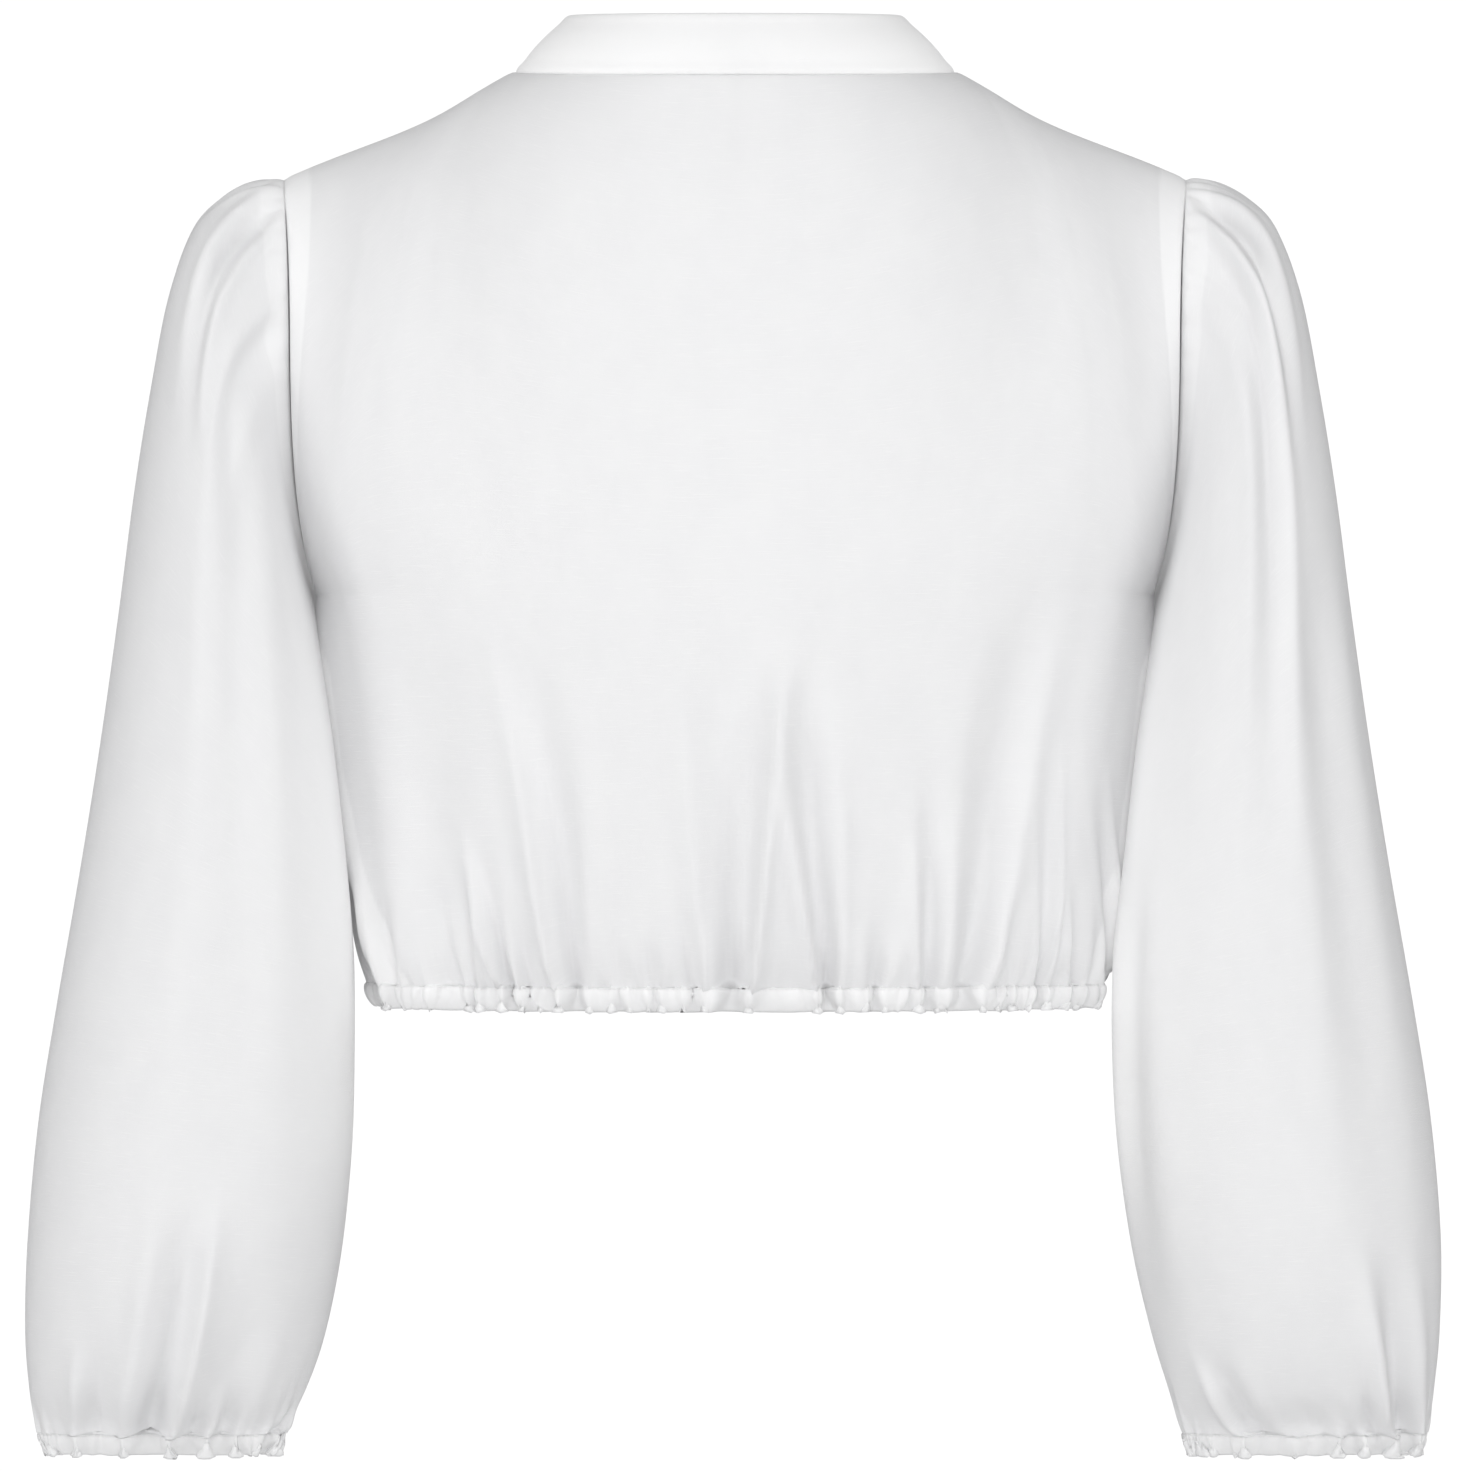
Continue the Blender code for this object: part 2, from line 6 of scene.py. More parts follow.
import bmesh
import bpy
import numpy as np
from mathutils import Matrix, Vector


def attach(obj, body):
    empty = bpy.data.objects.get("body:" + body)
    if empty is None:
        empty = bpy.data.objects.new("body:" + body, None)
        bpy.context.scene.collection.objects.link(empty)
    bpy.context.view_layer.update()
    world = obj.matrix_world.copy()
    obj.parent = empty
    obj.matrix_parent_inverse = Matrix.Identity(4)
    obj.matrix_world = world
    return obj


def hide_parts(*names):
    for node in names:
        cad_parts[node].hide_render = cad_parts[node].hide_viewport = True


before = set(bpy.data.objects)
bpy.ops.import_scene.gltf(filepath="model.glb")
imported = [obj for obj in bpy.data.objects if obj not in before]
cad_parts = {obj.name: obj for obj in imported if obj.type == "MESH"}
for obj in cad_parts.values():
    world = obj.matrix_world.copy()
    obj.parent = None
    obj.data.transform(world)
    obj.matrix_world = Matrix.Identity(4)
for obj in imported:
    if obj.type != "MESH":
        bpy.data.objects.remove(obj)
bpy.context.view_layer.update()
print("stage: frame loaded")

MM = 0.001

# The cut that all the pieces share
CUT = {
    "seamGap": 0.1,
    "shoulderTip": (194, -2, -47),
    "shoulderHollow": 6.8,
    "underarm": (180, -12, -226),
    "armholeDepths": (50, 45),
    "armholeBow": 2.0,
    "armholeSkew": 5.0,
    "seamDip": 0.6,
    "seamDipReach": 2.2,
}

# Neck rings by centre back, side and centre front: the seam, and the band's free edge
NECK = {
    "seam": ((0, 62, -6.5), (94, -8, 0), (0, -127, -208)),
    "edge": ((0, 54, 20), (70.5, -10, 24.5), (0, -114, -142)),
    "frontBow": 6.0,
    "frontSwell": 2.2,
    "share": 0.36,
}

# Body rings from hem to underarm: height, half width, back depth, front depth, squareness
BODY = {
    "middleY": -12.0,
    "rings": (
        (-392.5, 158.5, 88, 104, 2.2),
        (-378, 163.5, 95, 112, 2.2),
        (-350, 168.3, 101, 118, 2.2),
        (-310, 172.2, 106, 122, 2.25),
        (-268, 176.4, 109, 123, 2.4),
        (-226, 180, 110, 119, 2.7),
    ),
}


def through(rows, at):
    # a smooth curve through a table's rows, at fractional row numbers
    table = np.array(rows, float)
    last = len(table) - 1
    at = np.clip(np.asarray(at, float), 0, last)
    start = np.minimum(at.astype(int), last - 1)
    part = (at - start)[..., None]
    before, here = table[np.maximum(start - 1, 0)], table[start]
    there, after = table[start + 1], table[np.minimum(start + 2, last)]
    slopeHere, slopeThere = (there - before) / 2, (after - here) / 2
    return (
        here * (2 * part**3 - 3 * part**2 + 1)
        + slopeHere * (part**3 - 2 * part**2 + part)
        + there * (3 * part**2 - 2 * part**3)
        + slopeThere * (part**3 - part**2)
    )


def fade(value):
    value = np.clip(value, 0, 1)
    return value * value * (3 - 2 * value)


def joined(x, y, z):
    return np.stack(np.broadcast_arrays(x, y, z), axis=-1).astype(float)


def unit(vectors):
    return vectors / np.maximum(np.linalg.norm(vectors, axis=-1, keepdims=True), 1e-9)


def normalsOf(points, wrap):
    if wrap:
        across = np.roll(points, -1, axis=1) - np.roll(points, 1, axis=1)
    else:
        across = np.gradient(points, axis=1)
    return unit(np.cross(across, np.gradient(points, axis=0)))


# Seams and rings of the cut


def bodyRing(ring, across, side):
    height, halfWidth, back, front, square = np.moveaxis(through(BODY["rings"], ring), -1, 0)
    angle = np.asarray(across) * math.pi / 2
    sine, cosine = np.sin(angle), np.maximum(np.cos(angle), 0)
    power = 2 / square
    depth = back if side > 0 else front
    x = halfWidth * np.sign(sine) * np.abs(sine) ** power
    return joined(x, BODY["middleY"] + side * depth * cosine**power, height)


def armhole(angle):
    # radians: 0 at the shoulder tip, a quarter turn at mid back, half a turn at the underarm
    tip, low = np.array(CUT["shoulderTip"], float), np.array(CUT["underarm"], float)
    angle = np.asarray(angle, float)[..., None]
    depth = np.where(np.sin(angle) > 0, *CUT["armholeDepths"])
    bow = (CUT["armholeBow"] - CUT["armholeSkew"] * np.cos(angle)) * np.sin(angle) ** 2
    middle = (tip + low) / 2 + (tip - low) / 2 * np.cos(angle)
    return middle + np.array([0, 1, 0]) * depth * np.sin(angle) + np.array([1, 0, 0]) * bow


def neckBack(ring, share):
    back, side = (np.array(point, float) for point in NECK[ring][:2])
    turn = np.asarray(share) * math.pi / 2
    drop = (back - side) * np.array([0, 1, 1])
    return joined(
        side[0] * np.sin(turn),
        side[1] + drop[1] * np.cos(turn),
        side[2] + drop[2] * np.cos(turn),
    )


def neckFront(ring, share):
    side, front = (np.array(point, float) for point in NECK[ring][1:])
    share = np.asarray(share, float)
    forward = 1 - (1 - share) ** NECK["frontSwell"]
    return joined(
        side[0] * (1 - share) + NECK["frontBow"] * np.sin(math.pi * share),
        side[1] + (front[1] - side[1]) * forward,
        side[2] + (front[2] - side[2]) * share,
    )


def shoulderSeam(share):
    neck, tip = np.array(NECK["seam"][1], float), np.array(CUT["shoulderTip"], float)
    share = np.asarray(share, float)[..., None]
    hollow = CUT["shoulderHollow"] * np.sin(math.pi * share) * (1 - share)
    return neck + (tip - neck) * share - np.array([0, 0, 1]) * hollow


# Folds: soft troughs between low ridges, and gathers that die away from an elastic


def trough(distance, ridge=0.0):
    # ridge adds a crisper ridge beside the trough, on the side that its sign gives
    low = np.exp(-((np.abs(distance) - 1.7) ** 2) / 0.6)
    crisp = np.exp(-(((distance * np.sign(ridge) - 1.35) / 0.5) ** 2))
    return 0.35 * low + abs(ridge) * crisp - np.exp(-(distance**2))


def gatherPhase(share, count, seed):
    # how many gathers lie between the start of a ring and each share of the way round it
    wander = sum(
        size * np.sin(2 * math.pi * turns * (share + 0.37 * seed))
        for turns, size in ((3, 0.3), (7, 0.2), (11, 0.16), (17, 0.14), (29, 0.1))
    )
    return count * (share + wander / 96)


def gatherWave(share, count, seed, roundness=0.75):
    # rounded bulges with narrow creases between them, some full and some flat
    phase = gatherPhase(share, count, seed)
    number = np.floor(phase)
    size = 0.72 + 0.38 * np.sin(number * 2.3 + seed) * np.sin(number * 0.61 + 2 * seed)
    return size * (1.7 * np.abs(np.sin(math.pi * phase)) ** roundness - 1.0)


# Mesh making


def clothObject(name, points, uvs, tone, wrap, settings, material):
    # a grid of points in millimetres becomes a sheet of cloth, thick towards its inside
    rows, columns = points.shape[:2]
    mesh = bpy.data.meshes.new(name)
    bm = bmesh.new()
    segments = columns if wrap else columns - 1
    bmesh.ops.create_grid(bm, x_segments=segments, y_segments=rows - 1, size=1)
    width = segments + 1
    uvLayer = bm.loops.layers.uv.new("cloth")
    toneLayer = bm.verts.layers.float.new("tone")
    ordered = sorted(bm.verts, key=lambda v: (round(v.co.y, 6), round(v.co.x, 6)))
    places = {}
    for index, vert in enumerate(ordered):
        row, column = divmod(index, width)
        vert.co = points[row, column % columns] * MM
        vert[toneLayer] = tone[row, column % columns]
        places[vert.index] = uvs[row, column]
    for face in bm.faces:
        face.smooth = True
        for loop in face.loops:
            loop[uvLayer].uv = places[loop.vert.index]
    if wrap:
        bmesh.ops.remove_doubles(bm, verts=bm.verts, dist=1e-6)
    bm.to_mesh(mesh)
    bm.free()
    obj = bpy.data.objects.new(name, mesh)
    bpy.context.scene.collection.objects.link(obj)
    wall = obj.modifiers.new("wall", "SOLIDIFY")
    wall.thickness = settings["thickness"] * MM
    wall.offset = -1
    wall.use_quality_normals = True
    if settings.get("rounding"):
        rounding = obj.modifiers.new("rounding", "SUBSURF")
        rounding.levels = settings["rounding"]
        rounding.render_levels = settings["rounding"]
    mesh.materials.append(material)
    return obj


def lengthsAlong(points, axis):
    steps = np.linalg.norm(np.diff(points, axis=axis), axis=-1)
    start = np.zeros_like(np.take(steps, [0], axis=axis))
    return np.concatenate([start, np.cumsum(steps, axis=axis)], axis=axis)


def clothUvs(points, wrap):
    # true cloth lengths in metres, so that weave and stitches have their real size
    shown = np.concatenate([points, points[:, :1]], axis=1) if wrap else points
    across = lengthsAlong(shown, 1)
    across = across.mean(axis=0)[None, :] - across.mean(axis=0).mean()
    along = lengthsAlong(shown, 0)
    along = along.mean(axis=1)[:, None]
    across, along = np.broadcast_arrays(across, along)
    return np.stack([across, along], axis=-1) * MM


def declareSheet(obj, node):
    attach(obj, "root")
    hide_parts(node)


# Shader maths


class Sum:
    # a node socket that can be added, multiplied and so on as a number
    def __init__(self, tree, socket):
        self.tree = tree
        self.socket = socket

    def then(self, operation, *others, clamp=False):
        node = self.tree.nodes.new("ShaderNodeMath")
        node.operation = operation
        node.use_clamp = clamp
        for place, value in zip(node.inputs, (self, *others)):
            if isinstance(value, Sum):
                self.tree.links.new(value.socket, place)
            else:
                place.default_value = value
        return Sum(self.tree, node.outputs[0])

    def __add__(self, other):
        return self.then("ADD", other)

    def __radd__(self, other):
        return self.then("ADD", other)

    def __sub__(self, other):
        return self.then("SUBTRACT", other)

    def __rsub__(self, other):
        return self.then("MULTIPLY", -1).then("ADD", other)

    def __mul__(self, other):
        return self.then("MULTIPLY", other)

    def __rmul__(self, other):
        return self.then("MULTIPLY", other)

    def __truediv__(self, other):
        return self.then("DIVIDE", other)

    def node(self, kind, links, **settings):
        made = self.tree.nodes.new(kind)
        for key, value in settings.items():
            setattr(made, key, value)
        for key, value in links.items():
            if isinstance(value, Sum):
                self.tree.links.new(value.socket, made.inputs[key])
            else:
                made.inputs[key].default_value = value
        return made


CLOTH_LOOK = {
    "colour": (0.83, 0.83, 0.835),
    "shade": (0.79, 0.79, 0.8),
    "slub": (0.87, 0.87, 0.872),
    # paler colour for seam allowances, also painted light wherever the tone attribute paints it
    "allowanceAndPaintedLight": (0.95, 0.95, 0.95),
    # a little light of its own stands for light that comes through thin cloth
    "lightThrough": 0.2,
    "roughness": 0.78,
    "sheen": 0.05,
    "threadSpacing": 0.42,
    "weaveHeight": 0.025,
    "slubHeight": 0.05,
    "crumpleHeight": 0.35,
    "crumpleSize": 16.0,
}


def clothMaterial(name, look, stitchRows=()):
    # plain weave with slubs along the weft, faint crumpling and rows of machine stitches; painted
    # shade in the crumples' hollows, and from the tone attribute paler seam allowances and painted
    # light, as colour and a faint glow
    material = bpy.data.materials.new(name)
    material.use_nodes = True
    tree = material.node_tree
    shader = tree.nodes["Principled BSDF"]
    shader.inputs["Sheen Weight"].default_value = look["sheen"]
    shader.inputs["Sheen Roughness"].default_value = 0.5
    shader.inputs["Specular IOR Level"].default_value = 0.25
    uvNode = tree.nodes.new("ShaderNodeUVMap")
    uvNode.uv_map = "cloth"
    uv = Sum(tree, uvNode.outputs["UV"])
    parts = uv.node("ShaderNodeSeparateXYZ", {"Vector": uv})
    across = Sum(tree, parts.outputs["X"]) * (1 / MM)
    along = Sum(tree, parts.outputs["Y"]) * (1 / MM)
    turn = 2 * math.pi / look["threadSpacing"]
    warp = (across * turn).then("SINE")
    weft = (along * turn).then("SINE")
    weave = warp * weft

    slubPlace = uv.node("ShaderNodeCombineXYZ", {"X": across * 0.09, "Y": along * 1.5, "Z": 0.0})
    slubNoise = uv.node(
        "ShaderNodeTexNoise",
        {"Vector": Sum(tree, slubPlace.outputs[0]), "Scale": 1.0, "Detail": 3.0, "Roughness": 0.6},
    )
    slubs = (Sum(tree, slubNoise.outputs["Fac"]) - 0.55).then("MULTIPLY", 5.0, clamp=True)
    crumplePlace = uv.node(
        "ShaderNodeCombineXYZ",
        {"X": across / look["crumpleSize"], "Y": along / (look["crumpleSize"] * 1.6), "Z": 0.0},
    )
    crumpleNoise = uv.node(
        "ShaderNodeTexNoise",
        {"Vector": Sum(tree, crumplePlace.outputs[0]), "Scale": 1.0, "Detail": 2.0, "Roughness": 0.45},
    )
    crumple = Sum(tree, crumpleNoise.outputs["Fac"])

    toneNode = tree.nodes.new("ShaderNodeAttribute")
    toneNode.attribute_name = "tone"
    tone = Sum(tree, toneNode.outputs["Fac"])

    stitches = None
    for row in stitchRows:
        line = 1 - (along - row["at"]).then("ABSOLUTE") / row["width"]
        dash = ((across / row["length"]).then("FRACT") - 0.5).then("ABSOLUTE")
        mask = line.then("MINIMUM", (0.36 - dash) * 12).then("MULTIPLY", 3.0, clamp=True)
        stitches = mask if stitches is None else stitches.then("MAXIMUM", mask)

    def mixed(factor, first, second):
        mix = uv.node("ShaderNodeMix", {}, data_type="RGBA")
        tree.links.new(factor.socket, mix.inputs[0])
        for place, value in ((mix.inputs[6], first), (mix.inputs[7], second)):
            if isinstance(value, Sum):
                tree.links.new(value.socket, place)
            else:
                place.default_value = (*value, 1)
        return Sum(tree, mix.outputs[2])

    # painted shade: the crumples' hollows are darker
    colour = mixed(crumple, look["shade"], look["colour"])
    colour = mixed(slubs * 0.6, colour, look["slub"])
    # the tone attribute: paler seam allowances, and painted light in crevices, on the collar's sides
    # and on the casings
    colour = mixed(tone.then("MULTIPLY", 1.0, clamp=True), colour, look["allowanceAndPaintedLight"])
    if stitches is not None:
        colour = mixed(stitches * 0.5, colour, look["slub"])
    tree.links.new(colour.socket, shader.inputs["Base Color"])
    through = tone * tone * look["lightThrough"]
    glow = uv.node("ShaderNodeCombineColor", {"Red": through, "Green": through, "Blue": through})
    tree.links.new(glow.outputs["Color"], shader.inputs["Emission Color"])
    shader.inputs["Emission Strength"].default_value = 1.0
    rough = look["roughness"] + slubs * -0.08 + crumple * 0.1
    tree.links.new(rough.socket, shader.inputs["Roughness"])

    height = weave * look["weaveHeight"] + slubs * look["slubHeight"]
    height = height + crumple * look["crumpleHeight"]
    if stitches is not None:
        height = height + stitches * 0.25
    bump = uv.node("ShaderNodeBump", {"Height": height, "Strength": 1.0, "Distance": MM})
    tree.links.new(bump.outputs["Normal"], shader.inputs["Normal"])
    return material


# Back and front panels

PANELS = {
    "thickness": 0.7,
    "shoulderColumns": 84,
    "neckColumns": 52,
    "lowerRows": 88,
    "upperRows": 70,
    "holdLow": 0.36,
    "holdNeck": 0.31,
    "holdShoulder": 0.2,
    "shoulderLean": 87,
    "neckFan": 50,
    "fanReach": 0.3,
    "evening": 12,
    "gathers": 96,
    "gatherHeight": 9.0,
    "gatherDepth": 0.9,
    "foldDepth": 1.2,
    "crest": 4.0,
    "crestWidth": 0.1,
    "armsHeight": -262.0,
    "armsFade": 50.0,
    # seam allowance and painted light in the tone: the allowance band with a painted glow, painted
    # light past the side edge and under the arms, none low on that side, left in its shade
    "allowance": 12.0,
    "allowanceTone": 0.3,
    "edgeScale": 130.0,
    "glowReach": 20.0,
    "glowTone": 0.2,
    "paintedCreviceLight": 0.8,
    "shadeHeight": -290.0,
    "shadeFade": 60.0,
    "underarmHeight": -215.0,
    "underarmReach": 60.0,
    "underarmWidth": 16.0,
}

BACK = {
    "side": 1,
    "dip": 0.0,
    "neckLean": 25,
    "fullness": 14,
    "fullAt": 0.62,
    "seed": 3,
    "eveningColumns": (17, 11),
    # where the panel turns to the side: height, place on the left, place on the right
    "turnsAt": (
        (-404, 0.72, 0.8),
        (-380, 0.76, 0.84),
        (-340, 0.84, 0.88),
        (-300, 0.9, 0.91),
        (-226, 0.92, 0.92),
    ),
    # folds from the hem: place at the hem, place at the top, top height, width, depth, ridge
    "folds": (
        (0.85, 0.8, -300, 0.036, 2.4, 0.4),
        (0.71, 0.69, -350, 0.03, 2.6, 0.4),
        (0.53, 0.507, -205, 0.07, 4.0, 0.0),
        (0.467, 0.461, -335, 0.02, 3.2, -0.7),
        (0.385, 0.417, -312, 0.02, 3.8, 0.8),
        (0.345, 0.36, -345, 0.016, 2.0, 0.5),
        (0.259, 0.279, -222, 0.032, 6.0, 0.6),
        (0.176, 0.18, -362, 0.016, 2.0, 0.3),
        (0.118, 0.122, -368, 0.014, 1.8, -0.4),
        (0.058, 0.065, -350, 0.018, 3.6, -0.4),
        (0.006, -0.005, -190, 0.03, 7.0, -0.8),
        (-0.137, -0.055, -225, 0.022, 5.2, 0.8),
        (-0.22, -0.215, -362, 0.016, 2.6, 0.4),
        (-0.316, -0.291, -290, 0.022, 3.8, 0.7),
        (-0.399, -0.43, -185, 0.045, 6.0, -0.3),
        (-0.5, -0.47, -340, 0.02, 2.2, -0.5),
        (-0.587, -0.511, -272, 0.02, 3.0, -0.8),
        (-0.7, -0.63, -330, 0.024, 2.6, 0.5),
        (-0.84, -0.66, -290, 0.022, 2.8, -0.8),
    ),
}

FRONT = {
    "side": -1,
    "dip": 0.9,
    "neckLean": 9,
    "fullness": 5,
    "fullAt": 0.55,
    "seed": 5,
    "eveningColumns": (17, 13),
    # the front turns to its sides softly, so its line lies past them
    "turnsAt": ((-404, 2, 2), (-226, 2, 2)),
    "folds": (
        (0.78, 0.72, -330, 0.03, 2.8, 0.4),
        (0.62, 0.57, -290, 0.034, 3.6, -0.4),
        (0.47, 0.45, -345, 0.022, 2.4, 0.5),
        (0.36, 0.37, -250, 0.042, 5.0, 0.6),
        (0.25, 0.29, -310, 0.026, 3.2, -0.6),
        (0.14, 0.17, -345, 0.02, 2.4, 0.4),
        (0.03, 0.02, -280, 0.034, 4.2, -0.7),
        (-0.09, -0.12, -335, 0.022, 2.6, 0.5),
        (-0.2, -0.25, -300, 0.028, 3.6, 0.6),
        (-0.33, -0.38, -245, 0.042, 5.0, -0.6),
        (-0.46, -0.46, -345, 0.022, 2.4, 0.4),
        (-0.59, -0.55, -300, 0.034, 3.4, -0.5),
        (-0.74, -0.7, -335, 0.03, 2.6, 0.4),
    ),
}


def topEdge(panel, across):
    reach = np.abs(across)
    neckShare = np.clip(reach / NECK["share"], 0, 1)
    shoulderShare = np.clip((reach - NECK["share"]) / (1 - NECK["share"]), 0, 1)
    if panel["side"] > 0:
        neck = neckBack("seam", neckShare)
    else:
        neck = neckFront("seam", 1 - neckShare)
    points = np.where((reach > NECK["share"])[:, None], shoulderSeam(shoulderShare), neck)
    points[:, 0] *= np.sign(across)
    return points


def panelColumns(shoulder, neck):
    right = -np.linspace(1, NECK["share"], shoulder + 1)
    middle = np.linspace(-NECK["share"], NECK["share"], 2 * neck + 1)
    return np.concatenate([right[:-1], middle, -right[::-1][1:]])


def columnHolds(panel, across):
    # where each column's curve starts and how it arrives at the top edge
    split = len(BODY["rings"]) - 1 - panel["dip"] * (1 - across**2)
    foot = bodyRing(split, across, panel["side"])
    rising = unit(foot - bodyRing(split - 0.1, across, panel["side"]))
    head = topEdge(panel, across)
    length = np.linalg.norm(head - foot, axis=1, keepdims=True)
    reach = np.abs(across)
    toShoulder = fade(reach / NECK["share"])
    lean = np.radians(panel["neckLean"] + (PANELS["shoulderLean"] - panel["neckLean"]) * toShoulder)
    fan = 1 - fade((reach - NECK["share"]) / PANELS["fanReach"])
    fan = np.radians(PANELS["neckFan"]) * toShoulder * fan
    outward = np.sin(lean) * np.sin(fan) * np.sign(across)
    arriving = joined(outward, panel["side"] * np.sin(lean) * np.cos(fan), -np.cos(lean))
    hold = PANELS["holdNeck"] + (PANELS["holdShoulder"] - PANELS["holdNeck"]) * toShoulder
    low = foot + rising * length * PANELS["holdLow"]
    high = head + arriving * length * hold[:, None]
    return split, foot, low, high, head


def evened(panel, across, number):
    # one of a panel's rows of holds without its sharp turns
    coarse = panelColumns(*panel["eveningColumns"])
    row = columnHolds(panel, coarse)[number]
    for _ in range(PANELS["evening"]):
        row = row.copy()
        row[1:-1] = (row[:-2] + 2 * row[1:-1] + row[2:]) / 4
    return through(row, np.interp(across, coarse, np.arange(len(coarse))))


def panelSurface(panel, across, rows):
    split, foot, low, high, head = columnHolds(panel, across)
    high = evened(panel, across, 3)
    rings = np.clip(rows, 0, 1)[:, None] * split
    lower = bodyRing(rings, np.broadcast_to(across, rings.shape), panel["side"])
    t = np.clip(rows - 1, 0, 1)[:, None, None]
    smoothHead = evened(panel, across, 4)
    head = smoothHead + (head - smoothHead) * t**5
    upper = foot * (1 - t) ** 3 + 3 * low * t * (1 - t) ** 2 + 3 * high * t**2 * (1 - t) + head * t**3
    seam = armhole(panel["side"] * math.pi * (1 - t[:, 0, 0]))
    for edge, side in ((0, -1), (-1, 1)):
        weight = fade((across * side - 0.55) / 0.45)[None, :, None]
        away = seam * np.array([side, 1, 1]) - upper[:, edge]
        upper = upper + away[:, None] * weight
    reach = np.abs(across)
    swell = np.exp(-(((reach - panel["fullAt"]) / 0.22) ** 2)) * fade((1 - reach) / 0.3)
    fullness = np.array([0, panel["side"] * panel["fullness"], 0])
    upper = upper + fullness * swell[None, :, None] * np.sin(math.pi * t)
    return np.where((rows > 1)[:, None, None], upper, lower)


def hemFolds(folds, across, heights):
    hem = BODY["rings"][0][0]
    total = np.zeros(heights.shape)
    for atHem, atTop, topHeight, width, depth, ridge in folds:
        rise = (heights - hem) / (topHeight - hem)
        share = np.clip(rise, 0, 1)
        middle = atHem + (atTop - atHem) * share
        spread = width * (0.5 + 0.85 * np.sqrt(share))
        strength = 1 - fade(rise * 1.15 - 0.15)
        total += PANELS["foldDepth"] * depth * trough((across - middle) / spread, ridge) * strength
    return total


def sideTurn(panel, across, heights):
    # how far past the line where the panel turns to the side each point lies
    height, left, right = np.array(panel["turnsAt"], float).T
    places = np.where(across > 0, np.interp(heights, height, left), np.interp(heights, height, right))
    return np.abs(across) - places


def belowArms(heights):
    # 1 on the sides under the arms, and 0 beside the armholes
    return 1 - fade((heights - PANELS["armsHeight"]) / PANELS["armsFade"])


def sideCrest(panel, across, heights):
    # the crisp edge there: the cloth rises to it and then falls away to the side seam
    past = sideTurn(panel, across, heights)
    rise = np.exp(-((np.minimum(past, 0) / PANELS["crestWidth"]) ** 2))
    left = np.clip(1 - np.abs(across), 0, None)
    fall = np.clip(past / np.maximum(past + left, 1e-6), 0, 1)
    away = (1 - 2.2 * fade(fall * 2.2)) * (1 - fade(fall * 1.6 - 0.6))
    return PANELS["crest"] * np.where(past > 0, away, rise) * belowArms(heights)


def ringShare(across, side):
    # share of the way round the hem from the left side seam, backwards
    return (1 - across) / 4 if side > 0 else (3 + across) / 4


def hemGathers(panel, across, heights):
    rise = heights - BODY["rings"][0][0]
    wave = gatherWave(ringShare(across, panel["side"]), PANELS["gathers"], 1)
    reach = PANELS["gatherHeight"] * (1 + 0.6 * np.sin(across * 41 + panel["seed"]))
    return PANELS["gatherDepth"] * wave * np.exp(-np.maximum(rise, 0) / reach)


def shortPleats(panel, across, heights):
    # little folds of uneven height and width between the long ones
    maker = np.random.default_rng(panel["seed"])
    hem = BODY["rings"][0][0]
    total = np.zeros(heights.shape)
    for place in np.arange(-0.95, 0.96, 0.052):
        middle = place + maker.uniform(-0.02, 0.02)
        height = maker.uniform(16, 52)
        width = maker.uniform(0.011, 0.02)
        depth = maker.uniform(0.5, 1.5)
        lean = maker.uniform(-0.02, 0.02)
        rise = (heights - hem) / height
        centre = middle + lean * np.clip(rise, 0, 1)
        spread = width * (1 + 0.8 * np.clip(rise, 0, 1))
        total += depth * trough((across - centre) / spread) * (1 - fade(rise))
    return total


def seamDip(points, edges):
    # cloth drawn down where a seam holds it
    reach = CUT["seamDipReach"]
    dip = np.zeros(points.shape[:2])
    for axis, end in edges:
        run = lengthsAlong(points, axis)
        if end:
            run = np.take(run, [-1], axis=axis) - run
        dip = np.maximum(dip, np.exp(-((run / reach) ** 2)))
    return -CUT["seamDip"] * dip


def allowanceAndPaintedGlow(distance):
    # how pale the cloth is beside a seam: an allowance lies under it, and a painted glow stands for
    # light that comes through
    allowance = 1 - fade((distance - PANELS["allowance"]) / 1.2)
    glow = np.exp(-((distance / PANELS["glowReach"]) ** 1.5))
    return np.clip(PANELS["allowanceTone"] * allowance + PANELS["glowTone"] * glow, 0, 1)


